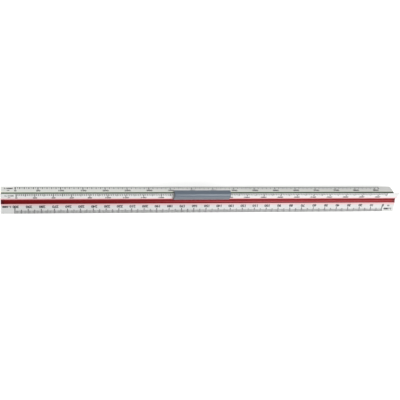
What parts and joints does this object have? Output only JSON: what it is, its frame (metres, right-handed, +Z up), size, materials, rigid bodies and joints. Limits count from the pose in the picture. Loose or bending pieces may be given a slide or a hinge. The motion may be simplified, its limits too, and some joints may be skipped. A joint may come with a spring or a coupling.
{
  "type": "triangular scale ruler",
  "caption": "Three-edged reduction scale ruler with coloured finger channels and a grip clip that slides along its upper arm.",
  "frame": {"origin": "under the middle of the ruler, in the plane its two lower edges rest on", "axes": "+X along the ruler, towards the end where the front 1:1000 scale starts; +Y towards the green channel's side, -Y towards the red channel's side; +Z up, through the arm that carries the clip"},
  "size_m": [0.3212, 0.0216, 0.0204],
  "materials": {
    "white_plastic": "satin moulded, printed graduations",
    "red_plastic": "satin",
    "green_plastic": "satin",
    "blue_plastic": "satin",
    "clip_plastic": "satin blue-grey",
    "black_ink": "printed ink"
  },
  "bodies": {
    "root": {"ruler_body": "white_plastic", "red_channel_strip": "red_plastic", "green_channel_strip": "green_plastic", "blue_channel_strip": "blue_plastic"},
    "clip": {"grip_clip": "clip_plastic"}
  },
  "joints": [
    {"name": "clip_slide", "type": "slide", "parent": "root", "child": "clip", "axis": [1, 0, 0], "range_m": [-0.1326, 0.1435]}
  ]
}
